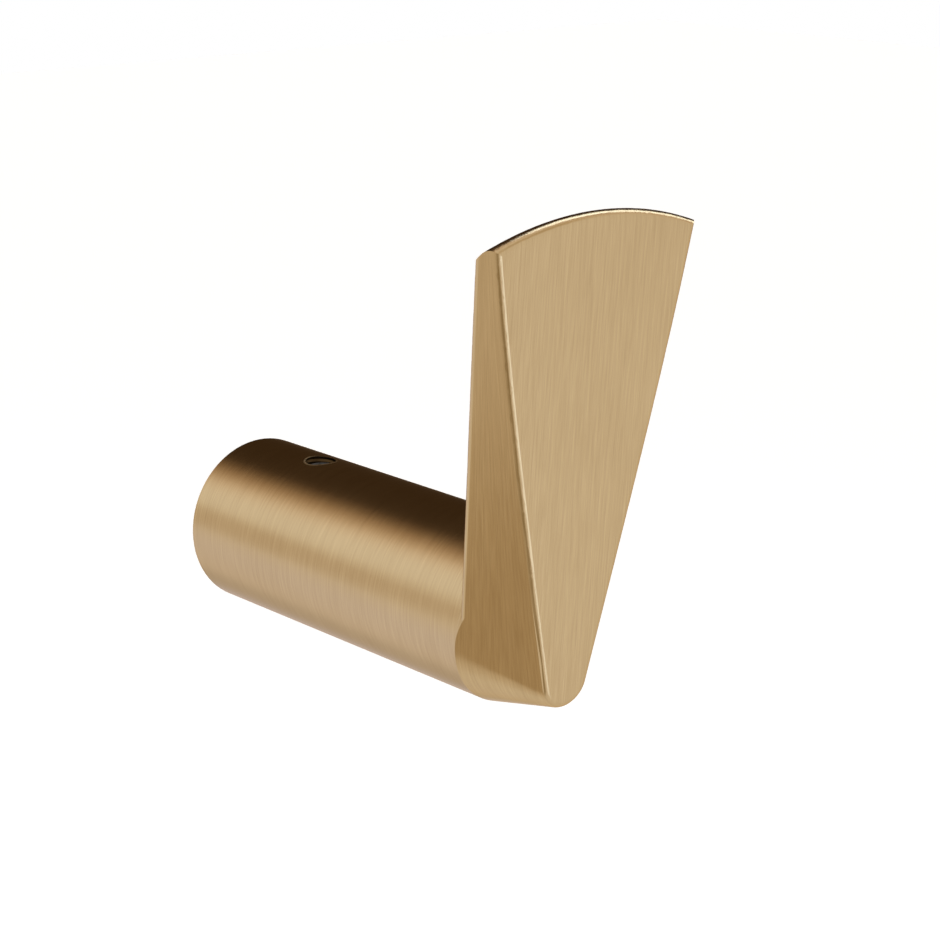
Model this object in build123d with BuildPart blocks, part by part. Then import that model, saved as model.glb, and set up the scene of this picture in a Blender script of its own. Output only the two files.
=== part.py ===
from build123d import *

import os
from math import acos, atan, atan2, cos, degrees, hypot, radians, sin, tan

# Robe hook for a wall, in millimetres.
# A round post stands out from the wall along -Y and ends in a fan-shaped blade
# that rises from it. Post and blade are one casting. A turned bracket is screwed
# to the wall inside the post, and a set screw in the top of the post holds the
# casting on it.
# The origin is the centre of the post's wall end, the wall is the plane y = 0,
# and +Z is up.

# Post
post_diameter = 22.0
wall_rim_chamfer = 0.15

# Blade: distance of its back from the wall on the post's axis, the forward lean of its
# back in degrees, and its thickness on the axis and at the crown
back_reach = 54.6
back_lean = 11.2
blade_thickness = 7.7
crown_thickness = 2.0

# Crown: a round top that falls towards the wall, in degrees. Its height is that of the
# front face, before the edges are rounded. Both outlines run past it by the margin
crown_height = 51.6
crown_fall = 41.0
crown_radius = 63.0
crown_margin = 1.0

# Front outline: a small round foot below the axis, straight flanks, then a gentle curve
foot_radius = 3.1
foot_drop = 6.45
flank_angle = 13.0
flank_straight_height = 24.0
front_top_width = 31.3

# Back outline: flanks run from the post's own section to the crown
back_top_width = 34.3

# Edge rounds of the blade
front_edge_round = 0.9
back_edge_round = 0.45

# Socket in the post's wall end
socket_diameter = 16.0
socket_depth = 22.0

# Set screw: cone point seated in the bracket's groove, hexagon socket at the top
screw_distance = 14.0
screw_diameter = 4.0
screw_length = 4.0
screw_tip_diameter = 0.8
screw_hex_width = 2.0
screw_hex_depth = 1.6
screw_rim_chamfer = 0.25
thread_clearance = 0.05
seat_clearance = 0.02

# Wall bracket: a turned boss inside the socket
bracket_length = 19.0
socket_clearance = 0.2
bracket_rim_chamfer = 0.5
groove_depth = 2.0
wall_screw_diameter = 4.8
wall_screw_head_diameter = 9.0
wall_screw_land = 7.0

post_radius = post_diameter / 2
socket_radius = socket_diameter / 2
screw_radius = screw_diameter / 2
screw_tip_radius = screw_tip_diameter / 2
bracket_radius = socket_radius - socket_clearance
front_reach = back_reach + blade_thickness
front_slope = tan(radians(back_lean)) - (blade_thickness - crown_thickness) / crown_height
front_lean = degrees(atan(front_slope))
back_plane = Plane.XZ.offset(back_reach).rotated((back_lean, 0, 0))
front_plane = Plane.XZ.offset(front_reach).rotated((front_lean, 0, 0))
front_top_reach = front_reach + front_slope * crown_height
crown_plane = Plane(
    origin=(0, -front_top_reach, crown_height),
    x_dir=(1, 0, 0),
    z_dir=(0, -cos(radians(crown_fall)), sin(radians(crown_fall))),
)
blade_top = crown_height + crown_margin


def on_face(half_width, height, lean):
    # A point at this height above the axis, in the coordinates of a face with this lean
    return (half_width, height / cos(radians(lean)))


# Front outline of the blade: foot and flank of one half, closed above the crown, then its
# mirror image
flank = radians(flank_angle)
foot_side = (foot_radius * cos(flank), -foot_drop - foot_radius * sin(flank))
flank_rise = flank_straight_height - foot_side[1]
flank_end = (foot_side[0] + flank_rise * tan(flank), flank_straight_height)
front_top = on_face(front_top_width / 2, blade_top, front_lean)
flank_chord = atan2(front_top[0] - flank_end[0], front_top[1] - flank_end[1])
flank_top = 2 * flank_chord - flank
with BuildLine() as front_outline:
    CenterArc((0, -foot_drop), foot_radius, -90, 90 - flank_angle)
    Spline(
        foot_side,
        flank_end,
        front_top,
        tangents=[(sin(flank), cos(flank)), (sin(flank_top), cos(flank_top))],
    )
    Line(front_top, (0, front_top[1]))
    mirror(about=Plane.YZ)

# Back outline of the blade: on the leaning face the post's section is an ellipse,
# and the flanks leave it along its tangents
section_height = post_radius / cos(radians(back_lean))
back_top = on_face(back_top_width / 2, blade_top, back_lean)
top_height = back_top[1] * post_radius / section_height
tangent_angle = atan2(top_height, back_top[0]) - acos(
    post_radius / hypot(back_top[0], top_height)
)
section_side = (post_radius * cos(tangent_angle), section_height * sin(tangent_angle))
with BuildLine() as back_outline:
    EllipticalCenterArc(
        (0, 0), post_radius, section_height, -90, arc_size=90 + degrees(tangent_angle)
    )
    Line(section_side, back_top)
    Line(back_top, (0, back_top[1]))
    mirror(about=Plane.YZ)

back_face = back_plane * Face(back_outline.wire())
front_face = front_plane * Face(front_outline.wire())

# Blade: between the two outlines and under the crown, with its front edges rounded
with BuildPart() as blade:
    loft(sections=[back_face, front_face], ruled=True)
    with BuildSketch(crown_plane):
        with Locations((0, -crown_radius)):
            Circle(crown_radius)
    extrude(amount=crown_radius, both=True, mode=Mode.INTERSECT)
    fillet(faces().filter_by(GeomType.PLANE).sort_by(Axis.Y)[0].edges(), front_edge_round)

# Post: the round bar behind the blade's back face and its nose inside the blade
with BuildPart() as post:
    add(blade.part)
    with BuildSketch(back_plane):
        Circle(post_diameter)
    extrude(amount=-2 * back_reach)
    with BuildSketch(Plane.XZ):
        Circle(post_radius)
    extrude(amount=front_reach + post_radius, mode=Mode.INTERSECT)
    chamfer(faces().sort_by(Axis.Y)[-1].edges(), wall_rim_chamfer)

# Hook body: the blade with its back edges rounded too, united with the post
with BuildPart() as hook_body:
    add(blade.part)
    fillet(faces().filter_by(GeomType.PLANE).sort_by(Axis.Y)[-1].edges(), back_edge_round)
    with BuildSketch(Plane.XZ):
        Circle(post_radius)
    extrude(amount=front_reach + post_radius, mode=Mode.SUBTRACT)
    add(post.part)

    # Socket for the bracket
    with BuildSketch(Plane.XZ):
        Circle(socket_radius)
    extrude(amount=socket_depth, mode=Mode.SUBTRACT)

    # Tapped hole for the set screw
    with BuildSketch(Plane.XY):
        with Locations((0, -screw_distance)):
            Circle(screw_radius)
    extrude(amount=post_radius, mode=Mode.SUBTRACT)

# Wall bracket: half section in the plane x = 0, turned about the Y axis
groove_bottom = bracket_radius - groove_depth
with BuildPart() as wall_bracket:
    with BuildSketch(Plane.YZ):
        with BuildLine():
            Polyline(
                (0, wall_screw_diameter / 2),
                (0, bracket_radius),
                (groove_depth - screw_distance, bracket_radius),
                (-screw_distance, groove_bottom),
                (-groove_depth - screw_distance, bracket_radius),
                (bracket_rim_chamfer - bracket_length, bracket_radius),
                (-bracket_length, bracket_radius - bracket_rim_chamfer),
                (-bracket_length, wall_screw_head_diameter / 2),
                (-wall_screw_land, wall_screw_head_diameter / 2),
                (-wall_screw_land, wall_screw_diameter / 2),
                close=True,
            )
        make_face()
    revolve(axis=Axis.Y)

# Set screw: its cone rests on the two sides of the groove
body_radius = screw_radius - thread_clearance
tip_height = groove_bottom + screw_tip_radius + seat_clearance
cone_height = tip_height + body_radius - screw_tip_radius
screw_top = tip_height + screw_length
with BuildPart() as grub_screw:
    with BuildSketch(Plane.XZ):
        with BuildLine():
            Polyline(
                (0, tip_height),
                (screw_tip_radius, tip_height),
                (body_radius, cone_height),
                (body_radius, screw_top - screw_rim_chamfer),
                (body_radius - screw_rim_chamfer, screw_top),
                (0, screw_top),
                close=True,
            )
        make_face()
    revolve(axis=Axis.Z)
    with BuildSketch(Plane.XY.offset(screw_top)):
        RegularPolygon(screw_hex_width / 2, 6, major_radius=False)
    extrude(amount=-screw_hex_depth, mode=Mode.SUBTRACT)
set_screw = Pos(0, -screw_distance, 0) * grub_screw.part

os.makedirs("parts", exist_ok=True)
export_step(hook_body.part, "parts/hook_body.step")
export_step(wall_bracket.part, "parts/wall_bracket.step")
export_step(set_screw, "parts/grub_screw.step")
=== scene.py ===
from math import cos, pi, radians, sin

import bpy
from mathutils import Matrix, Vector


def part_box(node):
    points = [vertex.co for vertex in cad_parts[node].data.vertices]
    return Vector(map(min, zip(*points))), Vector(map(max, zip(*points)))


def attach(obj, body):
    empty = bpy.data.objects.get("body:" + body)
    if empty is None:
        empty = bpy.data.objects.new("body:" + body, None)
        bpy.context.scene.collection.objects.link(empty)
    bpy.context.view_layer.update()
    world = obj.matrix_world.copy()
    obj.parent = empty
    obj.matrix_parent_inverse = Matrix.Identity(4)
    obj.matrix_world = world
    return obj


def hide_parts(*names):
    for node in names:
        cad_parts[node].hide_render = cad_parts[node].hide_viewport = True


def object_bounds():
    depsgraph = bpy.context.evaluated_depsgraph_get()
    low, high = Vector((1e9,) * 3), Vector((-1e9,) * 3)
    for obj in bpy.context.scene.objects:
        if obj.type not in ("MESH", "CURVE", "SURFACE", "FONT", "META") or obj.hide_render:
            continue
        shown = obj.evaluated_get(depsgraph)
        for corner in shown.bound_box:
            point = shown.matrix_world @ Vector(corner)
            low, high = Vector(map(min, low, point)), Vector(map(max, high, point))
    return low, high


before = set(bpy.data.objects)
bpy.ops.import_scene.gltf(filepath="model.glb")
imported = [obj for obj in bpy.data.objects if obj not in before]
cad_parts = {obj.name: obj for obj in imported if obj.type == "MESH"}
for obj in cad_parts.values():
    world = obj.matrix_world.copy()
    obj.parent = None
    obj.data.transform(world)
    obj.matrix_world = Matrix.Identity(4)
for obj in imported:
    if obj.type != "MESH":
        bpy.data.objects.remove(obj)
cad_low, cad_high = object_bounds()

# Robe hook in brushed brass, dressed on its solids. Lengths are in metres.
MM = 0.001
WHITE = (1.0, 1.0, 1.0, 1)

# Noise: how much of each octave's weight the next finer one has
OCTAVE_WEIGHT = 0.55

# Camera: the photograph's viewpoint, as its turn and its place from the post's wall end
VIEW_AZIMUTH = -40.121884
VIEW_ELEVATION = 15.374241
VIEW_PLACE = (-0.188771, -0.268114, 0.096512)
SENSOR_WIDTH = 36.0
LENS = 96.365
NEAREST = 0.01
FARTHEST = 50.0

# Blade: distance of its back from the wall on the post's axis, its thickness there, how
# much the first grows and the second shrinks with height, and the passage from the post's
# brush marks to those of its rim
BACK_REACH = 54.6 * MM
BACK_SLOPE = 0.198
BLADE_THICKNESS = 7.7 * MM
BLADE_TAPER = 0.1105
RIM_PASSAGE = 0.2 * MM

# Broad faces of the blade: how far a surface faces along the post's axis where their
# brush marks start and where they are full
BROAD_START = 0.86
BROAD_FULL = 0.96

# Set screw hole in the top of the post: its distance from the wall, its wall and bottom,
# and its worn mouth, which dips towards it and is worn most on the left
HOLE_DISTANCE = 14.0 * MM
HOLE_RADIUS = 2.0 * MM
HOLE_BOTTOM = 7.5 * MM
HOLE_PASSAGE = 0.1 * MM
MOUTH_RADIUS = 2.42 * MM
MOUTH_DIP = 0.1 * MM
MOUTH_ROUGHNESS = 0.27
MOUTH_WEAR_SPAN = 20 * MM

# Thread in the hole's wall, under painted shade: how far past the wall the thread and its
# painted shade start and are full, and the thread's turn at the post's axis
TAPPED_START = 0.06 * MM
TAPPED_FULL = 0.02 * MM
TAPPED_TURN = 0.5

# Brushing: width of the finest scratch, how long one runs, its octaves and seed, then the
# same for the broader grain. Marks on the broad faces have seeds of their own
SCRATCH_WIDTH = 0.13 * MM
SCRATCH_LENGTH = 5.0 * MM
SCRATCH_DETAIL = 3.0
SCRATCH_SEED = 1.3
GRAIN_WIDTH = 0.3 * MM
GRAIN_LENGTH = 9.0 * MM
GRAIN_DETAIL = 2.0
GRAIN_SEED = 7.1
BROAD_SEED = 3.4
BRUSH_DEPTH = 0.02 * MM
BRUSH_STRENGTH = 0.8

# Brass: its dark and light tones, the near-black painted shade on the hole's thread, the
# tint of its edges, its roughness, and slow clouds in its tone, so many to a metre
BRASS_DARK = (0.467, 0.324, 0.168, 1)
BRASS_LIGHT = (0.592, 0.431, 0.232, 1)
BRASS_HOLE_SHADE = (0.07, 0.04, 0.016, 1)
BRASS_EDGE = (0.8, 0.68, 0.52, 1)
BRASS_ROUGHNESS = 0.21
CLOUDS = 90.0
CLOUD_DETAIL = 2.0
CLOUD_SEED = 2.2

# Zinc plating on the bracket: its tones, the lathe's feed and the plating's patches
ZINC_DARK = (0.5, 0.51, 0.52, 1)
ZINC_LIGHT = (0.72, 0.72, 0.7, 1)
ZINC_ROUGHNESS = 0.34
LATHE_FEED = 0.16 * MM
LATHE_DETAIL = 3.0
LATHE_DEPTH = 0.02 * MM
LATHE_STRENGTH = 0.4
PATCHES = 260.0
PATCH_DETAIL = 3.0
PATCH_SEED = 3.4

# Oiled steel of the set screw: its tones, its film of oil and its pits
STEEL_DARK = (0.2, 0.19, 0.18, 1)
STEEL_LIGHT = (0.38, 0.37, 0.355, 1)
STEEL_ROUGHNESS = 0.5
FILMS = 900.0
FILM_DETAIL = 3.0
FILM_SEED = 5.5
PITS = 6000.0
PIT_DETAIL = 2.0
PIT_SEED = 8.5
PIT_DEPTH = 0.01 * MM
PIT_STRENGTH = 0.4

# Set screw: its thread, with how steep a flank is and how much of it is flat at the crest,
# its ends, and the fineness of its mesh
THREAD_PITCH = 0.7 * MM
THREAD_DEPTH = 0.43 * MM
FLANK_STEEPNESS = 1.25
CREST_FLAT = 0.125
SCREW_POINT_RADIUS = 0.4 * MM
SCREW_RIM = 0.25 * MM
SCREW_HEX_WIDTH = 2.0 * MM
SCREW_HEX_DEPTH = 1.6 * MM
SCREW_SIDES = 64
SCREW_RINGS = 90

# Studio floor: its level, size and colour, and the light that the camera sees it add
FLOOR_LEVEL = -0.32
FLOOR_SIZE = 6.0
FLOOR_COLOUR = (0.9, 0.9, 0.9, 1)
FLOOR_LIFT = 0.43


class Wire:
    """An output of a node. Arithmetic on it adds Math nodes to the same bench."""

    def __init__(self, bench, socket):
        self.bench = bench
        self.socket = socket

    def math(self, operation, first, second=0.0):
        settings = {"operation": operation}
        return self.bench.add("ShaderNodeMath", settings, {0: first, 1: second})[0]

    def __add__(self, other):
        return self.math("ADD", self, other)

    def __radd__(self, other):
        return self.math("ADD", other, self)

    def __sub__(self, other):
        return self.math("SUBTRACT", self, other)

    def __rsub__(self, other):
        return self.math("SUBTRACT", other, self)

    def __mul__(self, other):
        return self.math("MULTIPLY", self, other)

    def __rmul__(self, other):
        return self.math("MULTIPLY", other, self)

    def __truediv__(self, other):
        return self.math("DIVIDE", self, other)

    def __abs__(self):
        return self.math("ABSOLUTE", self)

    def least(self, other):
        return self.math("MINIMUM", self, other)

    def most(self, other):
        return self.math("MAXIMUM", self, other)


class Outputs:
    """The outputs of one node, by name or number."""

    def __init__(self, bench, node):
        self.bench = bench
        self.node = node

    def __getitem__(self, key):
        return Wire(self.bench, self.node.outputs[key])


class Bench:
    """A node tree that is being built."""

    def __init__(self, tree):
        self.tree = tree
        tree.nodes.clear()

    def add(self, kind, settings=None, sockets=None):
        node = self.tree.nodes.new(kind)
        for name, value in (settings or {}).items():
            setattr(node, name, value)
        for key, value in (sockets or {}).items():
            if isinstance(value, Wire):
                self.tree.links.new(value.socket, node.inputs[key])
            else:
                node.inputs[key].default_value = value
        return Outputs(self, node)

    def smooth(self, value, start, end):
        # 0 at start, 1 at end, with an S-shaped passage between
        settings = {"interpolation_type": "SMOOTHSTEP"}
        sockets = {"Value": value, "From Min": start, "From Max": end}
        return self.add("ShaderNodeMapRange", settings, sockets)["Result"]

    def mix_colour(self, factor, first, second):
        settings = {"data_type": "RGBA"}
        return self.add("ShaderNodeMix", settings, {0: factor, 6: first, 7: second})[2]

    def streaks(self, place, stretch, detail, seed):
        # Noise drawn out along the axes whose stretch is small
        scaled = self.add(
            "ShaderNodeVectorMath", {"operation": "MULTIPLY"}, {0: place, 1: stretch}
        )["Vector"]
        settings = {"noise_dimensions": "4D", "normalize": True}
        sockets = {
            "Vector": scaled,
            "W": seed,
            "Scale": 1.0,
            "Detail": detail,
            "Roughness": OCTAVE_WEIGHT,
        }
        return self.add("ShaderNodeTexNoise", settings, sockets)["Fac"]

    def length(self, first, second):
        # Distance from the origin of a plane point with these coordinates
        point = self.add("ShaderNodeCombineXYZ", None, {"X": first, "Y": second})["Vector"]
        return self.add("ShaderNodeVectorMath", {"operation": "LENGTH"}, {0: point})["Value"]


def new_material(name):
    material = bpy.data.materials.new(name)
    material.use_nodes = True
    return material, Bench(material.node_tree)


def finish_metal(bench, colour, edge_tint, roughness, height, depth, strength):
    # A bare metal surface whose bump stands the given depth high
    bump = bench.add(
        "ShaderNodeBump", None, {"Height": height, "Distance": depth, "Strength": strength}
    )["Normal"]
    sockets = {
        "Base Color": colour,
        "Metallic": 1.0,
        "Specular Tint": edge_tint,
        "Roughness": roughness,
        "Normal": bump,
    }
    metal = bench.add("ShaderNodeBsdfPrincipled", None, sockets)
    bench.add("ShaderNodeOutputMaterial", None, {"Surface": metal["BSDF"]})


def brushed_brass():
    # Brush marks run round the post and along the blade's rim, and up its two broad faces.
    # The screw hole is tapped after the brushing: its mouth is worn matt, and its wall is a
    # thread, coloured near black as painted shade inside the hole
    material, bench = new_material("brushed_brass")
    coordinates = bench.add("ShaderNodeTexCoord")
    place = coordinates["Object"]
    part = bench.add("ShaderNodeSeparateXYZ", None, {0: place})
    facing = bench.add("ShaderNodeSeparateXYZ", None, {0: coordinates["Normal"]})
    broad = bench.smooth(abs(facing["Y"]), BROAD_START, BROAD_FULL)
    past_back = -BACK_REACH - part["Z"] * BACK_SLOPE - part["Y"]
    rim_depth = past_back / (1 - part["Z"] * (BLADE_TAPER / BLADE_THICKNESS))
    on_rim = bench.smooth(past_back, -RIM_PASSAGE, 0.0)
    depth = part["Y"] + (rim_depth - part["Y"]) * on_rim
    round_place = bench.add(
        "ShaderNodeCombineXYZ", None, {"X": part["X"], "Y": depth, "Z": part["Z"]}
    )["Vector"]

    def brush_marks(width, length, detail, seed):
        across = 1 / width
        along = 1 / length
        round_marks = bench.streaks(round_place, (along, across, along), detail, seed)
        up_marks = bench.streaks(place, (across, along, along), detail, seed + BROAD_SEED)
        return round_marks + (up_marks - round_marks) * broad

    # Screw hole: where the brushing stops, the worn mouth, and the thread with its painted shade
    from_hole = part["Y"] + HOLE_DISTANCE
    hole_radius = bench.length(part["X"], from_hole)
    above = bench.smooth(part["Z"], HOLE_BOTTOM - HOLE_PASSAGE, HOLE_BOTTOM)
    bare = bench.smooth(hole_radius, MOUTH_RADIUS, MOUTH_RADIUS - HOLE_PASSAGE) * above
    brushed = 1 - bare
    mouth = bench.smooth(hole_radius, MOUTH_RADIUS, HOLE_RADIUS) * above
    shaded_thread = bench.smooth(hole_radius, HOLE_RADIUS + TAPPED_START, HOLE_RADIUS + TAPPED_FULL) * above
    angle = part["X"].math("ARCTAN2", from_hole, part["X"])
    turn = part["Z"] / THREAD_PITCH - angle / (2 * pi) + TAPPED_TURN
    thread = turn.math("PINGPONG", turn, 0.5) * shaded_thread

    # Tone, roughness and bump
    scratch = brush_marks(SCRATCH_WIDTH, SCRATCH_LENGTH, SCRATCH_DETAIL, SCRATCH_SEED)
    scratch = (scratch - 0.5) * brushed
    grain = brush_marks(GRAIN_WIDTH, GRAIN_LENGTH, GRAIN_DETAIL, GRAIN_SEED)
    grain = (grain - 0.5) * brushed
    cloud = bench.streaks(place, (CLOUDS, CLOUDS, CLOUDS), CLOUD_DETAIL, CLOUD_SEED) - 0.5
    tone = 0.5 + scratch * 1.5 + grain * 0.7 + cloud * 0.3
    brass = bench.mix_colour(tone, BRASS_DARK, BRASS_LIGHT)
    # Painted shade: the hole's wall takes a near-black colour in place of the shade inside the hole
    colour = bench.mix_colour(shaded_thread, brass, BRASS_HOLE_SHADE)
    matt = mouth * (MOUTH_ROUGHNESS - part["X"] / MOUTH_WEAR_SPAN)
    roughness = BRASS_ROUGHNESS + scratch * 0.1 + cloud * 0.06 + matt
    worn = mouth * (MOUTH_DIP / BRUSH_DEPTH)
    height = scratch * 0.5 + grain * 0.5 - worn - thread * (THREAD_DEPTH / BRUSH_DEPTH)
    finish_metal(bench, colour, BRASS_EDGE, roughness, height, BRUSH_DEPTH, BRUSH_STRENGTH)
    return material


def turned_zinc():
    # Lathe rings round the bracket's axis, under a bluish zinc plating
    material, bench = new_material("turned_zinc")
    place = bench.add("ShaderNodeTexCoord")["Object"]
    part = bench.add("ShaderNodeSeparateXYZ", None, {0: place})
    radius = bench.length(part["X"], part["Z"])
    ring = (radius + part["Y"]) / LATHE_FEED
    lathe = bench.add(
        "ShaderNodeTexNoise",
        {"noise_dimensions": "1D", "normalize": True},
        {"W": ring, "Scale": 1.0, "Detail": LATHE_DETAIL},
    )["Fac"]
    plating = bench.streaks(place, (PATCHES, PATCHES, PATCHES), PATCH_DETAIL, PATCH_SEED)
    tone = 0.5 + (lathe - 0.5) * 0.6 + (plating - 0.5) * 0.7
    colour = bench.mix_colour(tone, ZINC_DARK, ZINC_LIGHT)
    roughness = ZINC_ROUGHNESS + (lathe - 0.5) * 0.16 + (plating - 0.5) * 0.1
    finish_metal(bench, colour, WHITE, roughness, lathe, LATHE_DEPTH, LATHE_STRENGTH)
    return material


def oiled_steel():
    # Dark hardened steel with a thin, uneven film of oil
    material, bench = new_material("oiled_steel")
    place = bench.add("ShaderNodeTexCoord")["Object"]
    film = bench.streaks(place, (FILMS, FILMS, FILMS), FILM_DETAIL, FILM_SEED)
    pits = bench.streaks(place, (PITS, PITS, PITS), PIT_DETAIL, PIT_SEED)
    tone = 0.5 + (film - 0.5) * 0.8 + (pits - 0.5) * 0.5
    colour = bench.mix_colour(tone, STEEL_DARK, STEEL_LIGHT)
    roughness = STEEL_ROUGHNESS + (film - 0.5) * 0.3
    finish_metal(bench, colour, WHITE, roughness, pits, PIT_DEPTH, PIT_STRENGTH)
    return material


def dress(node, material):
    # A CAD node keeps its shape and takes this finish
    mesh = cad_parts[node].data
    mesh.materials.clear()
    mesh.materials.append(material)


def look_direction(azimuth, elevation):
    # Towards this compass angle from +Y to +X, and this height above the horizon
    a = radians(azimuth)
    e = radians(elevation)
    return Vector((sin(a) * cos(e), cos(a) * cos(e), sin(e)))


def studio_world():
    # A white studio, which the camera sees plain. Metal reflects it with its windows, its
    # shades and the dark screen behind the hook on the right
    world = bpy.data.worlds.new("studio")
    bpy.context.scene.world = world
    world.use_nodes = True
    bench = Bench(world.node_tree)
    direction = bench.add("ShaderNodeTexCoord")["Generated"]

    def patch(under, colour, azimuth, elevation, full, gone):
        # A round patch of this colour, full within one angle and gone past the other
        centre = look_direction(azimuth, elevation)
        closeness = bench.add(
            "ShaderNodeVectorMath", {"operation": "DOT_PRODUCT"}, {0: direction, 1: centre}
        )["Value"]
        mask = bench.smooth(closeness, cos(radians(gone)), cos(radians(full)))
        return bench.mix_colour(mask, under, colour)

    # Low on the wall's side: cool light, and a cool shade in it on the right
    studio = patch(WHITE, (0.99, 1.02, 1.24, 1), azimuth=-16, elevation=-36, full=18, gone=40)
    studio = patch(studio, (0.79, 0.82, 1.0, 1), azimuth=15, elevation=-36, full=8, gone=23)
    # On the wall's side at the left: a high window, and a warm strip level with the hook
    studio = patch(studio, (1.15, 1.22, 1.33, 1), azimuth=-31, elevation=24, full=6, gone=20)
    studio = patch(studio, (0.82, 0.76, 0.7, 1), azimuth=-40, elevation=0, full=3, gone=12)
    # Low on the left: a warm shade and its darker middle, then a brown one nearer the front
    studio = patch(studio, (0.86, 0.8, 0.71, 1), azimuth=-113, elevation=-44, full=8, gone=36)
    studio = patch(studio, (0.57, 0.45, 0.29, 1), azimuth=-117, elevation=-46, full=1, gone=14)
    studio = patch(studio, (0.42, 0.34, 0.21, 1), azimuth=-153, elevation=-34, full=6, gone=22)
    # In front at the right: a low bright window, and a tan shade above it
    studio = patch(studio, (1.7, 1.95, 2.5, 1), azimuth=155, elevation=-26, full=2, gone=13)
    studio = patch(studio, (0.72, 0.62, 0.46, 1), azimuth=144, elevation=34, full=4, gone=18)
    # Behind the hook at the right: the dark screen, inside its warm fringe
    studio = patch(studio, (1.1, 0.78, 0.5, 1), azimuth=48, elevation=32, full=38, gone=72)
    studio = patch(studio, (0.062, 0.04, 0.023, 1), azimuth=48, elevation=32, full=33, gone=66)
    seen = bench.add("ShaderNodeLightPath")["Is Camera Ray"]
    colour = bench.mix_colour(seen, studio, WHITE)
    light = bench.add("ShaderNodeBackground", None, {"Color": colour, "Strength": 1.0})
    bench.add("ShaderNodeOutputWorld", None, {"Surface": light["Background"]})


def studio_floor():
    # Pale floor that the camera sees white where it is lit. Metal reflects the white studio
    # in its place
    bpy.ops.mesh.primitive_plane_add(size=FLOOR_SIZE, location=(0, 0, FLOOR_LEVEL))
    floor = bpy.context.object
    floor.name = "floor"
    material, bench = new_material("white_floor")
    seen = bench.add("ShaderNodeLightPath")["Is Camera Ray"]
    matt = bench.add("ShaderNodeBsdfDiffuse", None, {"Color": FLOOR_COLOUR})
    lift = bench.add("ShaderNodeEmission", None, {"Strength": seen * FLOOR_LIFT})
    both = bench.add("ShaderNodeAddShader", None, {0: matt["BSDF"], 1: lift["Emission"]})
    bench.add("ShaderNodeOutputMaterial", None, {"Surface": both["Shader"]})
    floor.data.materials.append(material)
    floor.visible_glossy = False


def softbox(name, azimuth, elevation, distance, width, height, colour, watts):
    # A lamp that faces the hook from this direction and distance
    lamp = bpy.data.lights.new(name, "AREA")
    lamp.shape = "RECTANGLE"
    lamp.size = width
    lamp.size_y = height
    lamp.color = colour
    lamp.energy = watts
    holder = bpy.data.objects.new(name, lamp)
    towards = look_direction(azimuth, elevation)
    holder.location = (cad_low + cad_high) / 2 + towards * distance
    holder.rotation_mode = "QUATERNION"
    holder.rotation_quaternion = towards.to_track_quat("Z", "Y")
    bpy.context.scene.collection.objects.link(holder)


def photograph_camera():
    lens = bpy.data.cameras.new("camera")
    lens.sensor_width = SENSOR_WIDTH
    lens.lens = LENS
    lens.clip_start = NEAREST
    lens.clip_end = FARTHEST
    camera = bpy.data.objects.new("camera", lens)
    a = radians(VIEW_AZIMUTH)
    e = radians(VIEW_ELEVATION)
    right = Vector((cos(a), sin(a), 0))
    up = Vector((-sin(a) * sin(e), cos(a) * sin(e), cos(e)))
    back = Vector((sin(a) * cos(e), -cos(a) * cos(e), sin(e)))
    turn = Matrix((right, up, back)).transposed().to_4x4()
    camera.matrix_world = Matrix.Translation(VIEW_PLACE) @ turn
    bpy.context.scene.collection.objects.link(camera)
    bpy.context.scene.camera = camera


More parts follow.
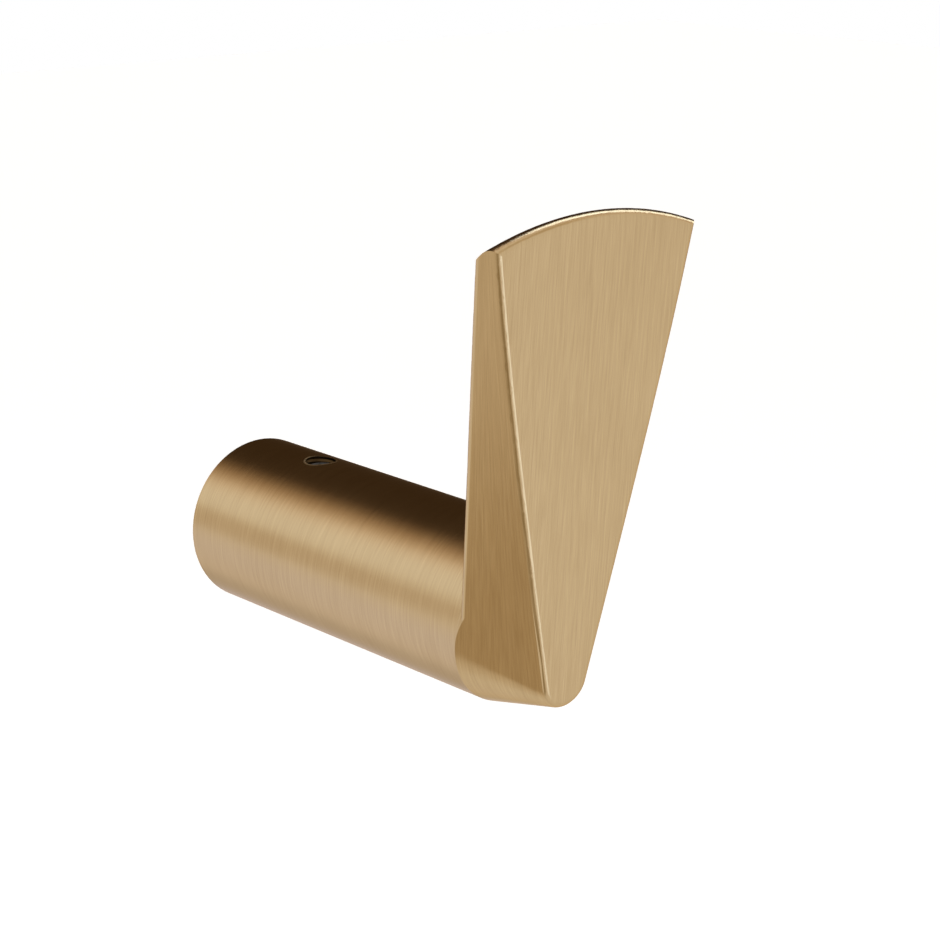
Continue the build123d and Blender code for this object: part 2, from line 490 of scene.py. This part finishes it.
def threaded_screw_tree(material):
    # A round bar whose wall follows a helical thread, with a cone point and a hexagon socket
    tree = bpy.data.node_groups.new("threaded_screw", "GeometryNodeTree")
    bench = Bench(tree)
    sizes = ["Crest", "Length", "Pitch", "Depth", "Point", "Rim", "Hex Width", "Hex Depth"]
    for name in sizes:
        tree.interface.new_socket(name, in_out="INPUT", socket_type="NodeSocketFloat")
    tree.interface.new_socket("Place", in_out="INPUT", socket_type="NodeSocketVector")
    tree.interface.new_socket("Geometry", in_out="OUTPUT", socket_type="NodeSocketGeometry")
    size = bench.add("NodeGroupInput")

    # Bar, drawn in to the thread, the point and the top's rim
    bar = bench.add(
        "GeometryNodeMeshCylinder",
        {"fill_type": "NGON"},
        {
            "Vertices": SCREW_SIDES,
            "Side Segments": SCREW_RINGS,
            "Radius": size["Crest"],
            "Depth": size["Length"],
        },
    )["Mesh"]
    spot = bench.add("GeometryNodeInputPosition")["Position"]
    part = bench.add("ShaderNodeSeparateXYZ", None, {0: spot})
    height = part["Z"] + size["Length"] * 0.5
    angle = part["X"].math("ARCTAN2", part["Y"], part["X"])
    turn = height / size["Pitch"] - angle / (2 * pi)
    groove = 2 * turn.math("PINGPONG", turn, 0.5)
    form = (groove * FLANK_STEEPNESS - CREST_FLAT).most(0.0).least(1.0)
    wall = size["Crest"] - size["Depth"] * form
    cone = size["Point"] + height
    rim = size["Crest"] - size["Rim"] + (size["Length"] - height)
    shrink = wall.least(cone).least(rim) / size["Crest"]
    inside = bench.add("ShaderNodeCombineXYZ", None, {"X": shrink, "Y": shrink, "Z": 1.0})["Vector"]
    shaped = bench.add("ShaderNodeVectorMath", {"operation": "MULTIPLY"}, {0: spot, 1: inside})
    body = bench.add(
        "GeometryNodeSetPosition", None, {"Geometry": bar, "Position": shaped["Vector"]}
    )["Geometry"]

    # Hexagon socket
    key = bench.add(
        "GeometryNodeMeshCylinder",
        {"fill_type": "NGON"},
        {
            "Vertices": 6,
            "Radius": size["Hex Width"] * (0.5 / cos(pi / 6)),
            "Depth": size["Hex Depth"] * 2.0,
        },
    )["Mesh"]
    top = bench.add("ShaderNodeCombineXYZ", None, {"Z": size["Length"] * 0.5})["Vector"]
    key_in_place = bench.add(
        "GeometryNodeTransform", None, {"Geometry": key, "Translation": top}
    )["Geometry"]
    cut = bench.add(
        "GeometryNodeMeshBoolean",
        {"operation": "DIFFERENCE", "solver": "EXACT"},
        {"Mesh 1": body, "Mesh 2": key_in_place},
    )["Mesh"]

    # Place and finish
    seated = bench.add(
        "GeometryNodeTransform", None, {"Geometry": cut, "Translation": size["Place"]}
    )["Geometry"]
    real = bench.add("GeometryNodeRealizeInstances", None, {"Geometry": seated})["Geometry"]
    painted = bench.add(
        "GeometryNodeSetMaterial", None, {"Geometry": real, "Material": material}
    )["Geometry"]
    bench.add("NodeGroupOutput", None, {"Geometry": painted})
    return tree


def threaded_screw(material):
    # Stands in the place of the plain set screw, at its size
    low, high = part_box("grub_screw")
    values = {
        "Crest": (high.x - low.x) / 2,
        "Length": high.z - low.z,
        "Pitch": THREAD_PITCH,
        "Depth": THREAD_DEPTH,
        "Point": SCREW_POINT_RADIUS,
        "Rim": SCREW_RIM,
        "Hex Width": SCREW_HEX_WIDTH,
        "Hex Depth": SCREW_HEX_DEPTH,
        "Place": (low + high) / 2,
    }
    tree = threaded_screw_tree(material)
    blank = bpy.data.objects.new("screw_blank", bpy.data.meshes.new("screw_blank"))
    bpy.context.scene.collection.objects.link(blank)
    shaper = blank.modifiers.new("thread", "NODES")
    shaper.node_group = tree
    for item in tree.interface.items_tree:
        if item.in_out == "INPUT":
            shaper[item.identifier] = values[item.name]
    ready = blank.evaluated_get(bpy.context.evaluated_depsgraph_get())
    mesh = bpy.data.meshes.new_from_object(ready)
    blank.modifiers.remove(shaper)
    screw = bpy.data.objects.new("threaded_grub_screw", mesh)
    bpy.context.scene.collection.objects.link(screw)
    bpy.data.objects.remove(blank)
    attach(screw, "root")
    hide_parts("grub_screw")


dress("hook_body", brushed_brass())
dress("wall_bracket", turned_zinc())
threaded_screw(oiled_steel())

studio_world()
studio_floor()
softbox(
    "key_softbox",
    azimuth=98,
    elevation=47,
    distance=0.6,
    width=0.2,
    height=0.52,
    colour=(0.6, 0.75, 1.0),
    watts=1.4,
)
photograph_camera()
bpy.context.scene.view_settings.view_transform = "Standard"
